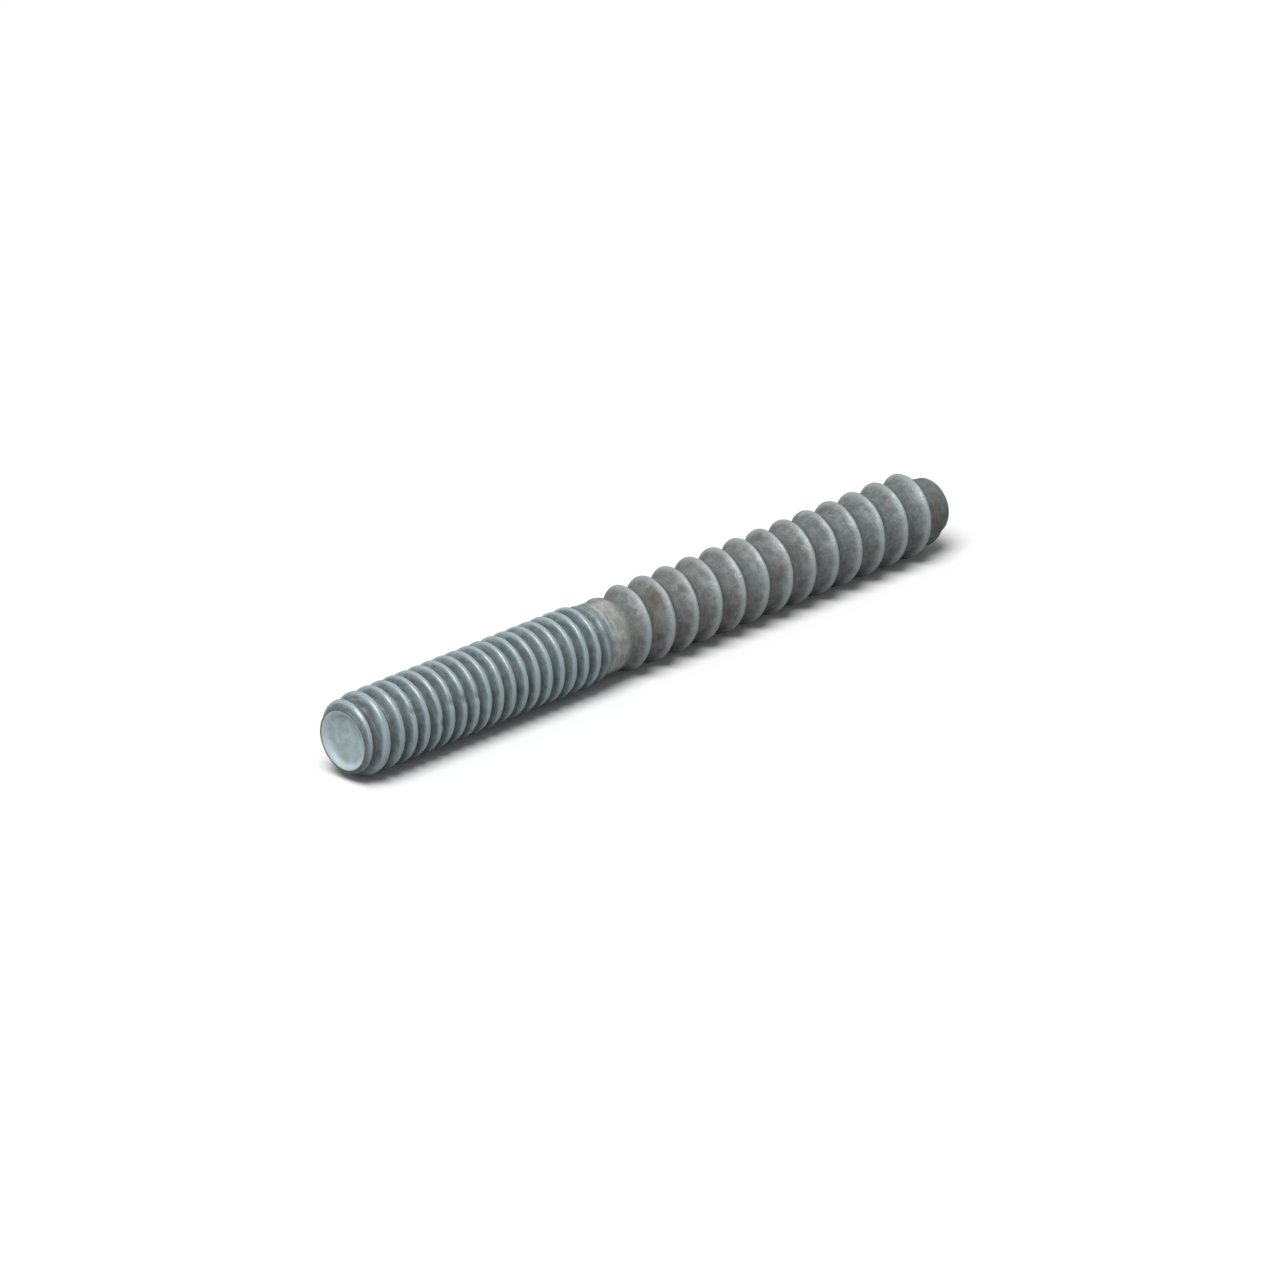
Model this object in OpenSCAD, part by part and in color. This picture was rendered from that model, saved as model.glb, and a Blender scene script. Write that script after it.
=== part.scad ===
// Hanger bolt: one steel rod with two threads rolled on it.
// One end is a machine-screw stud for a nut, the other a coarse thread that
// screws into wood. Between them a short collar keeps the plain blank, and the
// far end of the wood thread is a blunt tip with a round rim.
// The bolt lies on its wood thread with its axis along X: the stud's end face
// is at -X, the tip is at +X, and the floor is z = 0.

/* [Bolt] */
// Length over both ends
bolt_length = 62.8; // [56:0.1:75]
// Diameter of the plain blank, seen at the collar
blank_d = 5.7; // [5.4:0.05:6]
// Hand of both threads
thread_hand = "left"; // ["right", "left"]

/* [Machine thread] */
// Diameter over the crests
stud_d = 6.35; // [6.15:0.05:6.6]
// Diameter at the bottom of the grooves
stud_root_d = 4.9; // [4.6:0.05:5.2]
// Distance from one crest to the next
stud_pitch = 1.27; // [1.1:0.01:1.45]
// Width of the flat on a crest
stud_crest_flat = 0.16; // [0.1:0.02:0.3]
// Width of the flat at the bottom of a groove
stud_root_flat = 0.2; // [0.1:0.02:0.3]
// Length from the end face to where the grooves run out
stud_length = 25.9; // [20:0.1:30]
// Axial length over which the grooves grow shallow
stud_fade = 2; // [0.8:0.1:2.4]
// Diameter of the end face
stud_face_d = 5.2; // [4.6:0.05:5.6]
// Diameter of the shallow hollow that rolling leaves in the end face
dish_d = 4.4; // [3.6:0.1:4.4]
// Depth of that hollow
dish_depth = 0.2; // [0.1:0.05:0.4]
// Length of the bevel from the end face out to the crests
stud_bevel = 1; // [0.5:0.05:1.4]

/* [Wood thread] */
// Diameter over the crests
wood_d = 6.6; // [6.2:0.05:7.2]
// Diameter at the bottom of the valleys
wood_root_d = 5.1; // [4.7:0.05:5.4]
// Distance from one crest to the next
wood_pitch = 2.54; // [2.2:0.02:3]
// Axial length over which the ridge rises out of the collar
wood_fade = 2.7; // [1.4:0.1:4]
// Axial length over which the ridge dies at the tip
wood_tail_fade = 1.4; // [0.6:0.1:2]

/* [Collar and tip] */
// Length of plain collar between the two threads
collar_length = 0.5; // [0.2:0.1:3]
// Length of the plain tip past the wood thread
tip_length = 0.9; // [0.9:0.1:3]
// Diameter of the tip
tip_d = 4.6; // [4.4:0.05:5]
// Radius that rounds the rim of the tip
tip_round = 0.4; // [0.2:0.05:0.8]

/* [Hidden] */

// Straight steps that make one turn of a thread
turn_steps = 24;
// Points across one ridge of the wood thread
wood_points = 8;
// Where one crest of each thread passes the first step, at one side of the rod
stud_crest_x = 0.78;
wood_crest_x = 26.5;
// How far the hollow's wall leans inwards for each millimetre of its depth
dish_lean = 2;
// How far a threaded core runs inside the plain blank that it joins
joint_overlap = 0.4;
// How much slimmer than the blank the core is there, so that no skins touch
joint_inset = 0.03;
// Smoothness of the round faces
round_steps = 96;

wood_start = stud_length + collar_length;
wood_end = bolt_length - tip_length;
// A flat between two steps lies lowest, and the bolt rests on it
axis_height = wood_d / 2 * cos(180 / turn_steps);

function clamp01(v) = min(1, max(0, v));
function smooth(v) = let (c = clamp01(v)) c * c * (3 - 2 * c);

// One pitch of the machine thread as [share of the pitch, radius], crest at 0.5
function stud_ridge() =
    let (
        crest_half = stud_crest_flat / stud_pitch / 2,
        root_half = stud_root_flat / stud_pitch / 2
    )
    [[root_half, stud_root_d / 2], [0.5 - crest_half, stud_d / 2],
        [0.5 + crest_half, stud_d / 2], [1 - root_half, stud_root_d / 2]];

// One pitch of the wood thread: a round ridge and a round valley
function wood_ridge() = [for (i = [0:wood_points - 1])
    let (u = i / wood_points, rise = (1 - cos(360 * u)) / 2)
    [u, (wood_root_d + (wood_d - wood_root_d) * rise) / 2]];

// A rod along +X that carries a right-hand helical ridge, as one closed skin.
// ridge: [share of the pitch, radius] across one pitch
// crest_x: x of one crest at the first step
// span: x of the rod's two ends; run: x between which the ridge has any height
// cores: the plain radius at the two ends of the run; fades: the two run-outs
module threaded_rod(ridge, pitch, crest_x, span, run, cores, fades) {
    n = turn_steps;
    m = len(ridge);
    // No point comes closer than this to a flat end
    end_gap = pitch / 50;

    function core(x) =
        cores[0] - joint_inset + (cores[1] - cores[0]) * clamp01((x - run[0]) / (run[1] - run[0]));
    function share(x) = min(smooth((x - run[0]) / fades[0]), smooth((run[1] - x) / fades[1]));
    function around(x, r, k) =
        let (a = 360 * (k + 0.5) / n) [x, r * cos(a), r * sin(a)];

    // Point i of step k: a pitch has m points, and each step moves on by pitch / n
    function turn(i) = floor(i / m);
    function x_at(k, i) = crest_x + pitch * (k / n + turn(i) + ridge[i - m * turn(i)][0] - 0.5);
    function r_at(x, i) = core(x) + (ridge[i - m * turn(i)][1] - core(x)) * share(x);
    lowest = m * floor((span[0] - crest_x) / pitch - 1);
    highest = m * ceil((span[1] - crest_x) / pitch + 1);
    rows = [for (k = [0:n - 1]) [for (i = [lowest:highest])
        if (x_at(k, i) > span[0] + end_gap && x_at(k, i) < span[1] - end_gap) i]];
    firsts = [for (row = rows) row[0]];
    lasts = [for (row = rows) row[len(row) - 1]];

    // Each step is one line of points along the rod, with an end point each side
    points = [for (k = [0:n - 1]) each concat(
        [around(span[0], core(span[0]), k)],
        [for (i = rows[k]) let (x = x_at(k, i)) around(x, r_at(x, i), k)],
        [around(span[1], core(span[1]), k)])];
    starts = [for (k = 0, s = 0; k < n; s = s + len(rows[k]) + 2, k = k + 1) s];

    // Past the last step comes the first one again, one turn further on
    function first(k) = k < n ? firsts[k] : firsts[0] - m;
    function last(k) = k < n ? lasts[k] : lasts[0] - m;
    function at(k, i) = k < n ? starts[k] + 1 + i - firsts[k] : at(0, i + m);
    function end_a(k) = starts[k % n];
    function end_b(k) = starts[k % n] + len(rows[k % n]) + 1;

    sides = [for (k = [0:n - 1]) let (q = k + 1, a = first(k), b = last(q)) each concat(
        [[end_a(k), at(k, a), at(q, a)]],
        [for (i = [first(q):1:a - 1]) [end_a(k), at(q, i + 1), at(q, i)]],
        [[end_a(k), at(q, first(q)), end_a(q)]],
        [for (i = [a:b - 1]) each
            [[at(k, i), at(k, i + 1), at(q, i + 1)], [at(k, i), at(q, i + 1), at(q, i)]]],
        [for (i = [b:1:last(k) - 1]) [at(k, i), at(k, i + 1), at(q, b)]],
        [[at(k, last(k)), end_b(k), at(q, b)], [end_b(k), end_b(q), at(q, b)]])];
    caps = [[for (k = [0:n - 1]) end_a(k)], [for (k = [n - 1:-1:0]) end_b(k)]];

    polyhedron(points, concat(sides, caps));
}

// A solid of revolution along +X, from [radius, x] points
module turned(outline) {
    rotate([0, 90, 0])
        rotate_extrude($fn = round_steps)
            polygon(outline);
}

// Machine-screw stud: its thread runs out through the bevel of the end face
module stud() {
    lead_in = 2 * stud_pitch;
    bevel_rise = (stud_d - stud_face_d) / 2;
    // The bevel goes on past the crests, and then clears them
    reach = 1.5;
    face_r = stud_face_d / 2;
    clear_r = face_r + reach * bevel_rise;
    dish_r = dish_d / 2;
    intersection() {
        threaded_rod(stud_ridge(), stud_pitch, stud_crest_x,
            span = [-lead_in, stud_length + joint_overlap],
            run = [-2 * lead_in, stud_length],
            cores = [blank_d / 2, blank_d / 2],
            fades = [lead_in, stud_fade]);
        turned([[0, dish_depth], [dish_r - dish_lean * dish_depth, dish_depth],
            [dish_r, 0], [face_r, 0], [clear_r, reach * stud_bevel],
            [clear_r, bolt_length], [0, bolt_length]]);
    }
}

module collar() {
    translate([stud_length, 0, 0])
        rotate([0, 90, 0])
            cylinder(d = blank_d, h = collar_length, $fn = round_steps);
}

module wood_thread() {
    threaded_rod(wood_ridge(), wood_pitch, wood_crest_x,
        span = [wood_start - joint_overlap, wood_end + joint_overlap],
        run = [wood_start, wood_end],
        cores = [blank_d / 2, tip_d / 2],
        fades = [wood_fade, wood_tail_fade]);
}

// Plain end of the blank, with a round rim
module tip() {
    r = tip_d / 2;
    rim = [for (a = [0:15:90])
        [r - tip_round * (1 - cos(a)), tip_length - tip_round * (1 - sin(a))]];
    translate([wood_end, 0, 0])
        turned(concat([[0, 0], [r, 0]], rim, [[0, tip_length]]));
}

module hanger_bolt() {
    color("lightsteelblue")
        translate([-bolt_length / 2, 0, axis_height])
            mirror([0, thread_hand == "left" ? 1 : 0, 0])
                union() {
                    stud();
                    collar();
                    wood_thread();
                    tip();
                }
}

hanger_bolt();
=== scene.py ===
# %% [markdown]
# # A zinc-plated hanger bolt
# A hanger bolt is one steel rod with two threads rolled on it: a fine one for a nut
# and a coarse one for wood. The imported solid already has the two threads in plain
# facets. This lesson makes a finer skin for the same rod, gives it the dull blue-grey
# of zinc plating, and lays it on a white table under a soft light.
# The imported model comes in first, because every size below is set against its box.

import math

import bmesh
import bpy
import numpy as np
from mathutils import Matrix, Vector, noise


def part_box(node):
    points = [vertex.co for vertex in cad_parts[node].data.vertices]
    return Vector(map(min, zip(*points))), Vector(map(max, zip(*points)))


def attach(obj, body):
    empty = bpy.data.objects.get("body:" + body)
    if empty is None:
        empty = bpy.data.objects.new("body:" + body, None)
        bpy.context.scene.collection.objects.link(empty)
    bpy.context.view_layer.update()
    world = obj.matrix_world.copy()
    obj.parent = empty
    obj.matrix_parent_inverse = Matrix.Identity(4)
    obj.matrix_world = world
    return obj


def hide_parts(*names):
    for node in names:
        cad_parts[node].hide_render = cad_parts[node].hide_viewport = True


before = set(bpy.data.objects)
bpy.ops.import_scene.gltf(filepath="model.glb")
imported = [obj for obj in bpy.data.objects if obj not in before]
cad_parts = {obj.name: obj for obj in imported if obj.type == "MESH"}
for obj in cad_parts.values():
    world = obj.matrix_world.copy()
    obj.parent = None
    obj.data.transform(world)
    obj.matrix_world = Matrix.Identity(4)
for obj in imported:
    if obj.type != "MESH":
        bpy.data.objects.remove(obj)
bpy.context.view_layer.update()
low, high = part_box("hanger_bolt")
MM = 0.001               # a millimetre in Blender's metres
bolt_length = (high[0] - low[0]) / MM
axis_height = (high[2] - low[2]) / 2 / MM
print(f"bolt {bolt_length:.2f} mm long, its axis {axis_height:.3f} mm above the table")

# %% [markdown]
# ## The shape of the two threads
# A rolled thread has no sharp corners: the dies press the grooves in, and the metal
# flows up into rounded crests. Each thread could be a small profile swept along a
# helix, but two sweeps would have to be joined to the rod, with seams where they run
# out. Here the rod is one skin instead, and the threads are a rule that gives its
# radius at any distance s from the stud's end face and any turn round the axis.
# Both threads are left-hand: seen from the stud's end, a crest that goes away turns
# anticlockwise, so turns are counted that way. Near the stud's end a bevel cuts the
# crests down, and both threads fade to nothing at the collar, which is the plain rod.

# %% Sizes of the rod, in millimetres
BLANK_R = 2.85           # the plain rod, seen at the collar
STUD_CREST_R, STUD_ROOT_R = 3.17, 2.45
STUD_PITCH, STUD_CREST_S = 1.27, 0.115
STUD_END, STUD_FADE = 25.9, 2.0
WOOD_CREST_R, WOOD_ROOT_R = 3.24, 2.56
WOOD_PITCH, WOOD_CREST_S = 2.54, 27.714
WOOD_START, WOOD_END = 26.4, bolt_length - 0.5
WOOD_RISE, WOOD_DIE = 2.7, 1.5     # lengths over which the ridge rises and dies
TIP_R, TIP_ROUND = 2.27, 0.4

# The machine thread's crests and roots, as shares of a pitch from a crest's middle
CREST_TO, ROOT_FROM = 0.09, 0.45
EASED_CORNERS = 0.5      # 0 leaves their corners sharp, 1 eases them fully
# Its first crests are drawn forward with the rim, and they are narrower
FORWARD_BY, FORWARD_OVER = 0.54, 2.4
NARROWER_BY, NARROWER_OVER = 1.3, 1.1
# The wood thread's ridge is steeper on the side of the tip, with a round crest
STEEP_SIDE, GENTLE_SIDE = 2.3, 2.0
RIDGE_ROUND, RIDGE_POWER = 0.13, 2.6

# The bevel: a small round rim, then a slope, as distances from the end and radii,
# and how soft its corner with the crests is
BEVEL_S = [0.0, 0.03, 0.08, 0.15, 0.25, 0.35, 0.5, 0.8, 1.2, 1.6, 2.4]
BEVEL_R = [2.40, 2.47, 2.56, 2.66, 2.77, 2.84, 2.91, 3.0, 3.09, 3.18, 3.5]
BEVEL_SOFT = 0.05
# Rolling draws the rim forward and leaves the middle of the end face a little hollow
HOLLOW_R = [0.6, 1.1, 1.5, 1.68, 1.77, 1.85, 1.93, 2.01, 2.09, 2.17, 2.24, 2.31]
HOLLOW_S = [0.36, 0.36, 0.36, 0.35, 0.33, 0.295, 0.245, 0.185, 0.12, 0.06, 0.02, 0.0]
print(f"{STUD_END / STUD_PITCH:.1f} turns of machine thread, "
      f"{(WOOD_END - WOOD_START) / WOOD_PITCH:.1f} turns of wood thread")


# %% The rule for the radius
def eased(v):
    v = np.clip(v, 0, 1)
    return v * v * (3 - 2 * v)


def from_crest(s, turn, pitch, crest_s):
    """How far s lies past the nearest crest, in pitches."""
    u = (s - crest_s) / pitch - turn
    return u - np.round(u)


def crest_limit(s):
    """How far out the machine thread reaches: less on the bevel, with a soft corner."""
    bevel = np.interp(s, BEVEL_S, BEVEL_R)
    share = np.clip(0.5 + (bevel - STUD_CREST_R) / (2 * BEVEL_SOFT), 0, 1)
    return bevel + (STUD_CREST_R - bevel) * share - BEVEL_SOFT * share * (1 - share)


def stud_radius(s, turn):
    """Crests and roots with small flats, their corners eased as dies leave them."""
    forward = FORWARD_BY * np.exp(-((s / FORWARD_OVER) ** 2))
    u = np.abs(from_crest(s + forward, turn, STUD_PITCH, STUD_CREST_S))
    rise = np.clip((ROOT_FROM - u) / (ROOT_FROM - CREST_TO), 0, 1)
    rise = rise - EASED_CORNERS * np.sin(2 * math.pi * rise) / (2 * math.pi)
    # On the bevel the crests were never pressed to full height, so they are narrower
    rise = rise ** (1 + NARROWER_BY * np.exp(-((s / NARROWER_OVER) ** 2)))
    share = eased((STUD_END - s) / STUD_FADE)
    return BLANK_R + (STUD_ROOT_R + (crest_limit(s) - STUD_ROOT_R) * rise - BLANK_R) * share


def wood_radius(s, turn):
    """Round valleys that climb to narrow crests, steeper on the side of the tip."""
    u = from_crest(s, turn, WOOD_PITCH, WOOD_CREST_S)
    away = np.minimum(np.where(u > 0, STEEP_SIDE * u, -GENTLE_SIDE * u), 1)
    away = np.clip(np.sqrt(away ** 2 + RIDGE_ROUND ** 2) - RIDGE_ROUND, 0, 1)
    rise = (1 - away) ** RIDGE_POWER
    to_tip = np.clip((s - WOOD_START) / (WOOD_END - WOOD_START), 0, 1)
    core = BLANK_R + (TIP_R - BLANK_R) * to_tip
    share = np.minimum(eased((s - WOOD_START) / WOOD_RISE), eased((WOOD_END - s) / WOOD_DIE))
    return core + (WOOD_ROOT_R + (WOOD_CREST_R - WOOD_ROOT_R) * rise - core) * share


def rounded_tip(r, s):
    """The radius r, less what the round rim of the tip takes off it."""
    past = np.clip(s - (bolt_length - TIP_ROUND), 0, TIP_ROUND)
    return r - TIP_ROUND + np.sqrt(TIP_ROUND ** 2 - past ** 2)


for s in (0.5, 2.0, 12.0, 25.0):
    print(f"machine thread {s:4.1f} mm from the end: radius {stud_radius(s, 0):.3f} mm")
for s in (27.0, 40.0, 61.0):
    print(f"wood thread {s:4.1f} mm from the end: radius {wood_radius(s, 0):.3f} mm")

# %% [markdown]
# ## Handling marks
# A real bolt is shaken in a barrel with hundreds of others while it is plated, so its
# crests carry small dents, and its coarse ridge is never quite the same height or
# exactly on its line. Sculpting could add this, but it has to come out the same each
# time, so it is made from smooth noise that is read at each point of the skin, plus a
# few dents at listed places.

# %% Dents at listed places
# Distance from the end, degrees from +Y up towards +Z, half-widths along and round,
# and depth
DENTS = [
    (4.65, 147, 0.34, 0.42, 0.17),
    (8.45, 155, 0.34, 0.50, 0.15),
    (9.72, 157, 0.36, 0.55, 0.17),
    (10.98, 160, 0.34, 0.50, 0.12),
    (7.20, 178, 0.25, 0.40, 0.12),
    (13.5, 100, 0.25, 0.35, 0.10),
    (17.3, 335, 0.30, 0.40, 0.15),
    (21.0, 250, 0.25, 0.30, 0.14),
    (36.9, 43, 0.50, 0.50, 0.12),
    (47.1, 320, 0.50, 0.60, 0.14),
    (54.4, 65, 0.45, 0.50, 0.10),
]
print(f"{len(DENTS)} dents placed by hand")

# %% Uneven rolling, and the worn radius
# Each unevenness is its height in millimetres, its bumps per millimetre and a seed
STUD_OFF_LINE, STUD_UNEVEN = (0.02, 1.1, 3), (0.016, 1.6, 31)
WOOD_OFF_LINE, WOOD_WAVER, WOOD_UNEVEN = (0.05, 0.45, 11), (0.025, 1.3, 5), (0.018, 0.9, 21)
UNEVEN_FROM = 2.0        # the wood thread turns uneven over this length
# The last full ridge before the tip stands a little proud of the others
PROUD_S, PROUD_BY, PROUD_OVER = 58.2, 0.03, 1.3
NOISE_R = 3              # the noise is read on a cylinder of this radius
TABLE_GAP = 0.001        # no point comes closer than this to the table
COLLAR_S = (STUD_END + WOOD_START) / 2


def uneven(s, turn, kind):
    """Smooth noise at a point of the rod, from minus its height to its height."""
    most, scale, seed = kind
    a = 2 * math.pi * turn
    y, z = NOISE_R * math.cos(a) * scale, NOISE_R * math.sin(a) * scale
    return most * noise.noise(Vector((s * scale + seed, y, z)))


def worn_radius(s, turn):
    """The radius with uneven rolling and dents."""
    if s > COLLAR_S:
        off_line = uneven(s, turn, WOOD_OFF_LINE) + uneven(s, turn, WOOD_WAVER)
        r = float(wood_radius(s + off_line * eased((WOOD_END - s) / WOOD_DIE), turn))
        r += uneven(s, turn, WOOD_UNEVEN) * eased((s - WOOD_START) / UNEVEN_FROM)
        r += PROUD_BY * math.exp(-((s - PROUD_S) / PROUD_OVER) ** 2)
    else:
        r = float(stud_radius(s + uneven(s, turn, STUD_OFF_LINE), turn))
        r += uneven(s, turn, STUD_UNEVEN)
    for dent_s, degrees, along, around, depth in DENTS:
        ds = (s - dent_s) / along
        if abs(ds) < 1:
            dt = (turn + degrees / 360 + 0.5) % 1 - 0.5
            da = dt * 2 * math.pi * r / around
            if ds * ds + da * da < 1:
                r -= depth * (1 - ds * ds - da * da) ** 1.5
    return min(float(rounded_tip(r, s)), axis_height - TABLE_GAP)


print(f"worn radius at the collar: {worn_radius(COLLAR_S, 0):.3f} mm")

# %% [markdown]
# ## One closed skin
# If the skin were a stack of rings, the slanting crests would cut across its faces and
# look jagged. So its points follow the threads: each of 96 lines runs along the rod,
# and the next line starts one 96th of a pitch further on, which lays every row of
# faces along the helix. After the last line comes the first one again, one turn on.
# The two threads have different pitches, so their lines end on a ring in the collar
# that both share. Rings close the rod over the end face and the tip.

# %% Helpers that lay the points
LINES = 96
verts, faces = [], []


def lay(s, r, turn):
    """Turns are anticlockwise seen from the stud's end, so angles run backwards."""
    a = -2 * math.pi * turn
    y, z = r * math.cos(a), r * math.sin(a) + axis_height
    verts.append(((s - bolt_length / 2) * MM, y * MM, z * MM))
    return len(verts) - 1


def lay_ring(s, r=None):
    """A ring of points; with no radius given, the ring lies on the skin."""
    return [lay(s, worn_radius(s, k / LINES) if r is None else r, k / LINES) for k in range(LINES)]


def join_rings(rings):
    """Faces between each ring and the next."""
    for ring_a, ring_b in zip(rings, rings[1:]):
        for k in range(LINES):
            q = (k + 1) % LINES
            faces.append((ring_a[k], ring_a[q], ring_b[q], ring_b[k]))


def weave(ring_a, ring_b, s_a, s_b, pitch, crest_s, stops):
    """Lines of points between two rings, each line a 96th of a pitch further on."""
    m = len(stops)
    # No point comes closer than this to the two rings
    gap = pitch / 60
    i_low = m * math.floor((s_a - crest_s) / pitch - 2)
    i_high = m * math.ceil((s_b - crest_s) / pitch + 2)
    rows, firsts = [], []
    for k in range(LINES):
        row = []
        for i in range(i_low, i_high):
            s = crest_s + pitch * (k / LINES + i // m + stops[i % m])
            if s_a + gap < s < s_b - gap:
                if not row:
                    firsts.append(i)
                row.append(lay(s, worn_radius(s, k / LINES), k / LINES))
        rows.append(row)

    def at(k, i):
        return rows[k][i - firsts[k]] if k < LINES else rows[0][i + m - firsts[0]]

    for k in range(LINES):
        q = k + 1
        first_k, last_k = firsts[k], firsts[k] + len(rows[k]) - 1
        wrapped = m if q == LINES else 0
        first_q = firsts[q % LINES] - wrapped
        last_q = first_q + len(rows[q % LINES]) - 1
        a, b, a_next, b_next = ring_a[k], ring_b[k], ring_a[q % LINES], ring_b[q % LINES]
        start, end = max(first_k, first_q), min(last_k, last_q)
        if first_q < first_k:
            faces.append((a, at(q, start), at(k, first_k)))
            for i in range(first_q, first_k):
                faces.append((a, at(q, i), at(q, i + 1)))
            faces.append((a, a_next, at(q, first_q)))
        else:
            faces.append((a, a_next, at(q, first_q), at(k, first_k)))
        for i in range(start, end):
            faces.append((at(k, i), at(q, i), at(q, i + 1), at(k, i + 1)))
        for i in range(end, last_k):
            faces.append((at(k, i), at(q, end), at(k, i + 1)))
        faces.append((at(k, last_k), at(q, last_q), b_next, b))


# %% Lay the skin from the end face to the collar
# Where the points of one pitch lie, closer together at the crest and the root
STUD_STOPS = [0, 0.035, 0.065, 0.1, 0.15, 0.22, 0.3, 0.37, 0.42, 0.46,
              0.54, 0.58, 0.63, 0.7, 0.78, 0.85, 0.9, 0.935, 0.965]
RIM_S = (0.0, 0.02, 0.045, 0.08, 0.13, 0.18)

centre = lay(HOLLOW_S[0], 0, 0)
face_rings = [lay_ring(s, r) for s, r in zip(HOLLOW_S, HOLLOW_R)]
for k in range(LINES):
    faces.append((centre, face_rings[0][(k + 1) % LINES], face_rings[0][k]))
join_rings(face_rings)
face_count = len(faces)
rim_rings = [face_rings[-1]] + [lay_ring(s) for s in RIM_S]
join_rings(rim_rings)

collar = lay_ring(COLLAR_S)
weave(rim_rings[-1], collar, RIM_S[-1], COLLAR_S, STUD_PITCH, STUD_CREST_S, STUD_STOPS)
stud_count = len(faces)
print(f"{face_count} faces on the end face, {stud_count - face_count} on the stud")

# %% Lay the skin from the collar to the tip
WOOD_STOPS = [i / 30 for i in range(30)]
# Rings that far back from the end of the bolt, then rings of these radii on its face
TIP_BACK = (1.0, 0.75, 0.5, 0.4, 0.3, 0.21, 0.13, 0.07, 0.03, 0.008, 0)
TIP_FACE_R = (1.6, 1.2, 0.8, 0.4)

tip_start = bolt_length - TIP_BACK[0]
tip_rings = [lay_ring(tip_start)]
weave(collar, tip_rings[0], COLLAR_S, tip_start, WOOD_PITCH, WOOD_CREST_S, WOOD_STOPS)
tip_rings += [lay_ring(bolt_length - back) for back in TIP_BACK[1:]]
tip_rings += [lay_ring(bolt_length, r) for r in TIP_FACE_R]
join_rings(tip_rings)
tip_centre = lay(bolt_length, 0, 0)
for k in range(LINES):
    faces.append((tip_centre, tip_rings[-1][k], tip_rings[-1][(k + 1) % LINES]))
print(f"{len(verts)} points, {len(faces)} faces, {sum(len(f) - 2 for f in faces)} triangles")

# %% Make the piece
mesh = bpy.data.meshes.new("bolt_skin")
# Turns run backwards, so every face is turned round to look outwards
mesh.from_pydata(verts, [], [face[::-1] for face in faces])
mesh.validate(verbose=True)
mesh.polygons.foreach_set("use_smooth", [True] * len(mesh.polygons))
mesh.update()
bolt = bpy.data.objects.new("rolled_bolt", mesh)
bpy.context.scene.collection.objects.link(bolt)
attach(bolt, "root")
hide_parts("hanger_bolt")

# %% Measure the skin
check = bmesh.new()
check.from_mesh(mesh)
open_edges = [e for e in check.edges if not e.is_manifold]
print(f"{len(open_edges)} open edges, volume {check.calc_volume(signed=True) / MM ** 3:.1f} mm3")
check.free()

# %% [markdown]
# ## Zinc plating
# Bright zinc with a clear chromate is a soft blue-grey metal. It is rough enough to
# blur what it reflects. Its colour is painted darker in the grooves and along the
# outline, which is painted shade, and lighter on the crests, which is partly wear
# from handling and partly painted highlight. Paint-like colour on a plain metal
# shader would look flat, so three small effects are built once as node groups and each
# material places them with its own values.

# %% Helpers for node groups
def new_group(name, inputs, outputs):
    group = bpy.data.node_groups.new(name, "ShaderNodeTree")
    for socket, kind, value in inputs:
        made = group.interface.new_socket(name=socket, in_out="INPUT", socket_type=kind)
        made.default_value = value
    for socket, kind in outputs:
        group.interface.new_socket(name=socket, in_out="OUTPUT", socket_type=kind)
    return group, group.nodes.new("NodeGroupInput"), group.nodes.new("NodeGroupOutput")


FLOAT, COLOUR, VECTOR = "NodeSocketFloat", "NodeSocketColor", "NodeSocketVector"


def add(tree, kind, links=(), **settings):
    """A node with its settings, and links given as (input, output socket) pairs."""
    node = tree.nodes.new("ShaderNode" + kind)
    for key, value in settings.items():
        setattr(node, key, value)
    for socket, source in links:
        if isinstance(source, bpy.types.NodeSocket):
            tree.links.new(source, node.inputs[socket])
        else:
            node.inputs[socket].default_value = source
    return node


def maths(tree, operation, *values, clamp=False):
    node = add(tree, "Math", list(enumerate(values)), operation=operation, use_clamp=clamp)
    return node.outputs[0]


def ramp(tree, value, low, high, to_low=0.0, to_high=1.0):
    return add(tree, "MapRange", [("Value", value), ("From Min", low), ("From Max", high),
                                  ("To Min", to_low), ("To Max", to_high)],
               interpolation_type="SMOOTHSTEP").outputs["Result"]


def blend(tree, share, colour_a, colour_b, kind="MIX"):
    """Two colours mixed; a Mix node keeps its colours in sockets 6 and 7."""
    mix = add(tree, "Mix", [(0, share), (6, colour_a), (7, colour_b)], data_type="RGBA", blend_type=kind)
    return mix.outputs[2]


def blend_values(tree, share, value_a, value_b):
    """Two values mixed; a Mix node keeps its values in sockets 2 and 3."""
    return add(tree, "Mix", [(0, share), (2, value_a), (3, value_b)], data_type="FLOAT").outputs[0]


def on_bolt(tree, scale, shift=(0, 0, 0)):
    """The place on the bolt, as so many units to the metre each way."""
    place = add(tree, "TexCoord").outputs["Object"]
    return add(tree, "Mapping", [("Vector", place), ("Location", shift), ("Scale", scale)]).outputs[0]


def noise_at(tree, place, scale, detail, roughness=0.5):
    return add(tree, "TexNoise", [("Vector", place), ("Scale", scale), ("Detail", detail),
                                  ("Roughness", roughness)]).outputs["Fac"]


IN_MM = (1 / MM, 1 / MM, 1 / MM)

# %% Effect 1: height on the thread
BEVEL_FROM, BEVEL_TO = 0.1, 2.2    # where the bevel lowers the crests, from the end face

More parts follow.
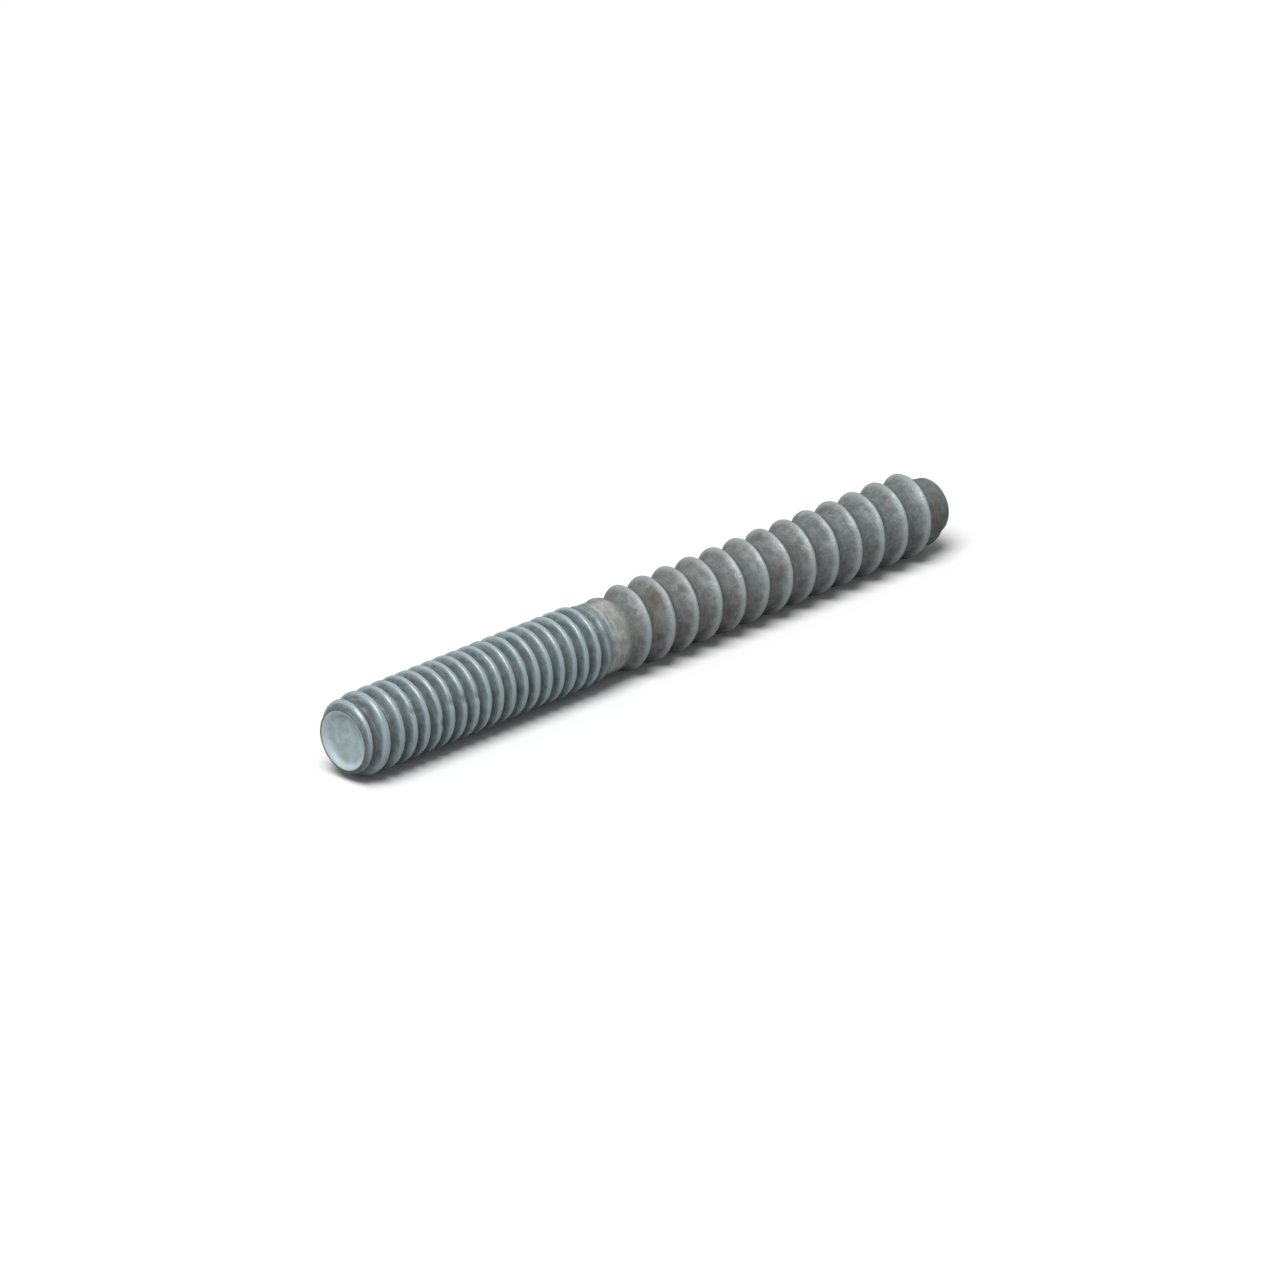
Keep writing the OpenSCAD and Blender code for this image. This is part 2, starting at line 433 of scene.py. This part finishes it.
height_group, given, out = new_group(
    "height_on_thread",
    [("Axis Height", FLOAT, 3.27), ("Root Radius", FLOAT, 2.5), ("Crest Radius", FLOAT, 3.2),
     ("End at", FLOAT, -31.0), ("Bevel Drop", FLOAT, 0.0)],
    [("Height", FLOAT), ("Along", FLOAT)])
place = add(height_group, "TexCoord")
parts = add(height_group, "SeparateXYZ", [("Vector", place.outputs["Object"])])
along, y_mm, z_mm = (maths(height_group, "MULTIPLY", parts.outputs[axis], 1 / MM) for axis in "XYZ")
z_up = maths(height_group, "SUBTRACT", z_mm, given.outputs["Axis Height"])
y_squared, z_squared = (maths(height_group, "MULTIPLY", v, v) for v in (y_mm, z_up))
radius = maths(height_group, "SQRT", maths(height_group, "ADD", y_squared, z_squared))
# The crests are lower where the bevel cuts them
past_end = maths(height_group, "SUBTRACT", along, given.outputs["End at"])
on_bevel = add(height_group, "MapRange", [
    ("Value", past_end), ("From Min", BEVEL_FROM), ("From Max", BEVEL_TO),
    ("To Min", 1.0), ("To Max", 0.0)]).outputs["Result"]
drop = maths(height_group, "MULTIPLY", given.outputs["Bevel Drop"], on_bevel)
height = add(height_group, "MapRange", [
    ("Value", radius), ("From Min", given.outputs["Root Radius"]),
    ("From Max", maths(height_group, "SUBTRACT", given.outputs["Crest Radius"], drop))])
height_group.links.new(height.outputs["Result"], out.inputs["Height"])
height_group.links.new(along, out.inputs["Along"])

# %% Effect 2: mottled plating
# Streaks are squeezed along the bolt, so they run round it
STREAKS_ALONG, STREAKS_ROUND = 6 / MM, 0.45 / MM
CLOUD_EDGES, PATCH_EDGES = (0.39, 0.61), (0.47, 0.68)
PATCH_SHIFT, PATCH_SCALE, RAGGED = (7, 3, 5), 0.45, 0.62

mottle_group, given, out = new_group(
    "mottled_plating",
    [("Bright", COLOUR, (0.5, 0.55, 0.56, 1)), ("Dull", COLOUR, (0.3, 0.34, 0.35, 1)),
     ("Stain", COLOUR, (0.25, 0.21, 0.17, 1)), ("Stain Share", FLOAT, 0.3),
     ("Cloud Size", FLOAT, 1.0), ("Streaks", FLOAT, 0.2),
     ("Spot", VECTOR, (0, 0, 0)), ("Spot Size", FLOAT, 0.0001)],
    [("Colour", COLOUR), ("Mask", FLOAT), ("Stains", FLOAT)])
in_mm = on_bolt(mottle_group, IN_MM)
clouds = noise_at(mottle_group, in_mm, given.outputs["Cloud Size"], 6.0, RAGGED)
squeezed = on_bolt(mottle_group, (STREAKS_ALONG, STREAKS_ROUND, STREAKS_ROUND))
streaks = noise_at(mottle_group, squeezed, 1.0, 3.0)
mask = ramp(mottle_group, blend_values(mottle_group, given.outputs["Streaks"], clouds, streaks),
            *CLOUD_EDGES)
patches = noise_at(mottle_group, on_bolt(mottle_group, IN_MM, PATCH_SHIFT), PATCH_SCALE, 5.0, RAGGED)
# One stain sits at a set place, with a ragged edge from the same noise
from_spot = add(mottle_group, "VectorMath", [(0, in_mm), (1, given.outputs["Spot"])],
                operation="DISTANCE").outputs["Value"]
around_one = maths(mottle_group, "ADD", clouds, 0.5)
ragged = maths(mottle_group, "MULTIPLY", from_spot, around_one)
outside = maths(mottle_group, "DIVIDE", ragged, given.outputs["Spot Size"])
spot = maths(mottle_group, "SUBTRACT", 1.0, outside, clamp=True)
general = maths(mottle_group, "MULTIPLY", ramp(mottle_group, patches, *PATCH_EDGES),
                given.outputs["Stain Share"])
stained = maths(mottle_group, "MAXIMUM", general, spot)
metal = blend(mottle_group, mask, given.outputs["Dull"], given.outputs["Bright"])
colour = blend(mottle_group, stained, metal, given.outputs["Stain"])
mottle_group.links.new(colour, out.inputs["Colour"])
mottle_group.links.new(mask, out.inputs["Mask"])
mottle_group.links.new(stained, out.inputs["Stains"])

# %% Effect 3: fine grain of the plating
GRAIN_ALONG, GRAIN_ROUND, GRAIN_ROUGH = 9 / MM, 0.7 / MM, 0.55

grain_group, given, out = new_group(
    "plating_grain", [("Grains per mm", FLOAT, 5.0), ("Streaks", FLOAT, 0.3)], [("Height", FLOAT)])
grain = noise_at(grain_group, on_bolt(grain_group, IN_MM), given.outputs["Grains per mm"],
                 3.0, GRAIN_ROUGH)
squeezed = on_bolt(grain_group, (GRAIN_ALONG, GRAIN_ROUND, GRAIN_ROUND))
rolled = noise_at(grain_group, squeezed, 1.0, 2.0)
both = blend_values(grain_group, given.outputs["Streaks"], grain, rolled)
grain_group.links.new(both, out.inputs["Height"])
print("node groups:", [g.name for g in bpy.data.node_groups if g.type == "SHADER"])


# %% Helpers for a plated material
NO_TINT = (1, 1, 1, 1)
# What is added to a finish's roughness, or taken off it
DULL_ROUGHER, BRIGHT_SMOOTHER, STAIN_ROUGHER, GROOVE_ROUGHER = 0.06, 0.05, 0.25, 0.2
MATT_BELOW, SMOOTH_ABOVE = 0.3, 0.95       # heights on the thread


def place_group(tree, group, values):
    """A node group in a material, with its own values for the named sockets."""
    node = tree.nodes.new("ShaderNodeGroup")
    node.node_tree = group
    for socket, value in values.items():
        node.inputs[socket].default_value = value
    return node


def spot_at(s, degrees, r):
    """A place on the bolt in its own millimetres, from the end face and round from +Y."""
    a = math.radians(degrees)
    return (s - bolt_length / 2, r * math.cos(a), r * math.sin(a) + axis_height)


def tint_along(tree, along, near_tint, near, far_tint, far):
    """A tint that changes along the bolt: near_tint, then none, then far_tint."""
    past_near, past_far = (ramp(tree, along, a - bolt_length / 2, b - bolt_length / 2)
                           for a, b in (near, far))
    return blend(tree, past_far, blend(tree, past_near, near_tint, NO_TINT), far_tint)


def roughness_of(tree, rough, mask, stains, height):
    """Grooves and stains are matt, rubbed crests are smoother."""
    clouded = ramp(tree, mask, 0, 1, rough + DULL_ROUGHER, rough - BRIGHT_SMOOTHER)
    uneven_rough = maths(tree, "ADD", clouded, maths(tree, "MULTIPLY", stains, STAIN_ROUGHER))
    in_groove = ramp(tree, height, MATT_BELOW, SMOOTH_ABOVE, GROOVE_ROUGHER, 0.0)
    return maths(tree, "ADD", uneven_rough, in_groove, clamp=True)


# %% One recipe for plated steel
# Painted shade: the colour that the grooves are darkened towards
PAINTED_GROOVE_SHADE = (0.05, 0.055, 0.055, 1)
# Painted shade: the colour that the skin darkens towards along its outline
PAINTED_EDGE_SHADE = (0.06, 0.065, 0.065, 1)
GROOVE_TOP = 0.9                   # height on the thread where the painted groove shade ends
EDGE_FROM, EDGE_TO = 0.55, 0.95    # how far the skin has turned away from the eye
BUMP_HEIGHT = 0.06 * MM


def plated(name, bright, dull, stain, root_r, crest_r, groove_shade, crest_wear_and_highlight, stain_share,
           cloud_size, streaks, rough, metallic, grains, bump, wear_and_highlight_heights, near_tint=NO_TINT, near=(0, 1),
           far_tint=NO_TINT, far=(0, 1), bevel_drop=0.0, edge_shade=0.75,
           spot=(0, 0, 0), spot_size=0.001):
    """Plated steel; near, far and spot are places in millimetres from the end face."""
    material = bpy.data.materials.new(name)
    material.use_nodes = True
    tree = material.node_tree
    shader = tree.nodes["Principled BSDF"]
    on_thread = place_group(tree, height_group, {
        "Axis Height": axis_height, "Root Radius": root_r, "Crest Radius": crest_r,
        "End at": -bolt_length / 2, "Bevel Drop": bevel_drop})
    height = on_thread.outputs["Height"]
    mottle = place_group(tree, mottle_group, {
        "Bright": bright, "Dull": dull, "Stain": stain, "Stain Share": stain_share,
        "Cloud Size": cloud_size, "Streaks": streaks, "Spot Size": spot_size,
        "Spot": spot_at(*spot)})
    tint = tint_along(tree, on_thread.outputs["Along"], near_tint, near, far_tint, far)
    tinted = blend(tree, 1.0, mottle.outputs["Colour"], tint, "MULTIPLY")
    # Painted shade: the lower the skin lies on the thread, the darker its colour
    in_groove = ramp(tree, height, 0.0, GROOVE_TOP, groove_shade, 0.0)
    shaded = blend(tree, in_groove, tinted, PAINTED_GROOVE_SHADE)
    # Wear and painted highlight: the crests are painted lighter, partly for handling and partly in place
    # of the light on them
    worn_and_highlit_steel = blend(tree, ramp(tree, height, *wear_and_highlight_heights), shaded, crest_wear_and_highlight)
    # Painted shade: the colour darkens where the skin turns away from the eye, along the outline
    turned_away = add(tree, "LayerWeight", [("Blend", 0.5)]).outputs["Facing"]
    edge = ramp(tree, turned_away, EDGE_FROM, EDGE_TO, 0.0, edge_shade)
    tree.links.new(blend(tree, edge, worn_and_highlit_steel, PAINTED_EDGE_SHADE), shader.inputs["Base Color"])
    shader.inputs["Metallic"].default_value = metallic
    roughness = roughness_of(tree, rough, mottle.outputs["Mask"], mottle.outputs["Stains"], height)
    tree.links.new(roughness, shader.inputs["Roughness"])
    grain = place_group(tree, grain_group, {"Grains per mm": grains, "Streaks": streaks})
    rise = add(tree, "Bump", [("Height", grain.outputs["Height"]), ("Strength", bump),
                              ("Distance", BUMP_HEIGHT)])
    tree.links.new(rise.outputs["Normal"], shader.inputs["Normal"])
    return material


# %% [markdown]
# ## The materials of the bolt
# The machine thread keeps most of its clear blue-green tint. The wood thread and the
# collar are duller and greyer, with brown stains in the valleys, and the end face is
# sheared steel under a thin coat, mottled and without a groove. They are three
# materials on one skin, and each face takes its own by its place.

# %% Set the materials
# Each material sets how much painted shade its grooves and outline get, and how much lighter its crests
# are painted, partly for wear and partly as painted highlight
stud_zinc = plated(
    "zinc_on_machine_thread", bright=(0.265, 0.345, 0.37, 1), dull=(0.135, 0.185, 0.20, 1),
    stain=(0.20, 0.17, 0.13, 1), root_r=STUD_ROOT_R, crest_r=STUD_CREST_R, groove_shade=0.6,
    crest_wear_and_highlight=(0.37, 0.46, 0.48, 1), stain_share=0.35, cloud_size=1.6, streaks=0.45, rough=0.34,
    metallic=0.22, grains=6.0, bump=0.6, wear_and_highlight_heights=(0.7, 1.0, 0.0, 0.8), bevel_drop=0.4,
    far_tint=(1.9, 1.57, 1.43, 1), far=(24.9, 26.0), spot=(0.95, 128, 2.6), spot_size=0.75)
wood_zinc = plated(
    "zinc_on_wood_thread", bright=(0.26, 0.28, 0.275, 1), dull=(0.17, 0.185, 0.18, 1),
    stain=(0.16, 0.125, 0.09, 1), root_r=WOOD_ROOT_R, crest_r=WOOD_CREST_R, groove_shade=0.4,
    crest_wear_and_highlight=(0.34, 0.38, 0.38, 1), stain_share=0.5, cloud_size=1.4, streaks=0.2, rough=0.46,
    metallic=0.22, grains=5.0, bump=0.9, wear_and_highlight_heights=(0.45, 0.95, 0.0, 0.8),
    near_tint=(1.9, 1.84, 1.78, 1), near=(26.6, 28.6), far_tint=(0.94, 1.02, 1.03, 1), far=(38, 60),
    spot=(31.0, 120, 2.8), spot_size=1.6)
face_zinc = plated(
    "zinc_on_end_face", bright=(0.46, 0.57, 0.62, 1), dull=(0.36, 0.46, 0.47, 1),
    stain=(0.40, 0.46, 0.39, 1), root_r=1.6, crest_r=2.4, groove_shade=0.0,
    crest_wear_and_highlight=(0.56, 0.64, 0.67, 1), stain_share=0.5, cloud_size=1.2, streaks=0.0, rough=0.3,
    metallic=0.3, grains=3.5, bump=0.4, wear_and_highlight_heights=(0.2, 0.6, 0.0, 0.65), edge_shade=0.0)

# %% Give each face its material
# The end face was laid first, then the stud up to the middle of the collar
for material in (stud_zinc, wood_zinc, face_zinc):
    mesh.materials.append(material)
index = np.ones(len(mesh.polygons), dtype=np.int32)
index[:stud_count] = 0
index[:face_count] = 2
mesh.polygons.foreach_set("material_index", index)
mesh.update()
print("faces per material:", np.bincount(index))

# %% [markdown]
# ## Table, light and camera
# The table is a plain white sheet, wide enough to fill the view. A soft overhead light
# leans a little towards the camera and the stud's end, which keeps the shadow short and
# close under the rod and puts bright lines on the crests, beside the painted highlight
# in their colour. The rest comes from an even pale sky.

# %% The table
def seen_directly(tree):
    """1 for rays from the camera, in reflections and through glass, and 0 for the rest."""
    path = add(tree, "LightPath")
    camera_or_glossy = maths(tree, "MAXIMUM", path.outputs["Is Camera Ray"], path.outputs["Is Glossy Ray"])
    return maths(tree, "MAXIMUM", camera_or_glossy, path.outputs["Is Transmission Ray"])


TABLE_HALF = 3           # metres
# The table gives back less light than it shows, so the shadow stays dark
TABLE_LIT, TABLE_SEEN = (0.25, 0.25, 0.25, 1), (0.98, 0.98, 0.98, 1)

table_mesh = bpy.data.meshes.new("table_top")
corners = [(x * TABLE_HALF, y * TABLE_HALF, 0) for x, y in ((-1, -1), (1, -1), (1, 1), (-1, 1))]
table_mesh.from_pydata(corners, [], [(0, 1, 2, 3)])
table = bpy.data.objects.new("table", table_mesh)
bpy.context.scene.collection.objects.link(table)
paper = bpy.data.materials.new("white_table")
paper.use_nodes = True
paper_shader = paper.node_tree.nodes["Principled BSDF"]
paper_shader.inputs["Roughness"].default_value = 1.0
paper_shader.inputs["Specular IOR Level"].default_value = 0.0
sheet = blend(paper.node_tree, seen_directly(paper.node_tree), TABLE_LIT, TABLE_SEEN)
paper.node_tree.links.new(sheet, paper_shader.inputs["Base Color"])
table_mesh.materials.append(paper)
print(f"table {2 * TABLE_HALF} m wide")

# %% The lamp and the sky
LAMP_STRENGTH, LAMP_WIDTH = 2.85, math.radians(38)
SKY_LIGHT, SKY_SEEN = 0.2, 1.0

lamp_data = bpy.data.lights.new("overhead", "SUN")
lamp_data.energy = LAMP_STRENGTH
lamp_data.angle = LAMP_WIDTH
lamp = bpy.data.objects.new("overhead", lamp_data)
bpy.context.scene.collection.objects.link(lamp)
towards_lamp = Vector((-0.36, -0.12, 0.92)).normalized()
lamp.rotation_mode = "QUATERNION"
lamp.rotation_quaternion = towards_lamp.to_track_quat("Z", "Y")

world = bpy.data.worlds.new("pale_sky")
bpy.context.scene.world = world
world.use_nodes = True
sky = world.node_tree
sky.nodes.clear()
strength = add(sky, "MapRange", [("Value", seen_directly(sky)), ("To Min", SKY_LIGHT),
                                 ("To Max", SKY_SEEN)])
glow = add(sky, "Background", [("Color", (1, 1, 1, 1)), ("Strength", strength.outputs["Result"])])
end = add(sky, "OutputWorld")
sky.links.new(glow.outputs[0], end.inputs["Surface"])
print(f"lamp {lamp_data.energy:.2f} strong and {math.degrees(lamp_data.angle):.0f} degrees wide")

# %% The camera
# The bolt lies along X. The camera stands half-way round from its side to its stud's
# end, looks down at it, and has no roll.
SWING, LIFT = math.radians(45.04), math.radians(23.83)
# Where the stud's end face lies from the camera, in millimetres
TO_THE_LEFT, BELOW, AWAY = 21.94, 7.435, 790.416
# The lens, as the width of the picture in pixels and the focal length in the same pixels
PICTURE_WIDTH, FOCAL_LENGTH, SENSOR_MM = 1280, 10707.5, 36

level = Vector((math.cos(SWING), math.sin(SWING), 0))
right = Vector((math.sin(SWING), -math.cos(SWING), 0))
forward = Vector((level.x * math.cos(LIFT), level.y * math.cos(LIFT), -math.sin(LIFT)))
up = right.cross(forward)
near_end = Vector((-bolt_length / 2, 0, axis_height)) * MM
where = near_end - (-TO_THE_LEFT * right - BELOW * up + AWAY * forward) * MM
camera_data = bpy.data.cameras.new("camera")
camera_data.sensor_width = SENSOR_MM
camera_data.lens = FOCAL_LENGTH / PICTURE_WIDTH * SENSOR_MM
camera_data.clip_start, camera_data.clip_end = 0.05, 20
camera = bpy.data.objects.new("camera", camera_data)
bpy.context.scene.collection.objects.link(camera)
camera.location = where
camera.rotation_mode = "QUATERNION"
camera.rotation_quaternion = (-forward).to_track_quat("Z", "Y")
bpy.context.scene.camera = camera
bpy.context.scene.view_settings.view_transform = "Standard"
print(f"lens {camera_data.lens:.1f} mm, {(where - near_end).length / MM:.0f} mm from the stud's end")
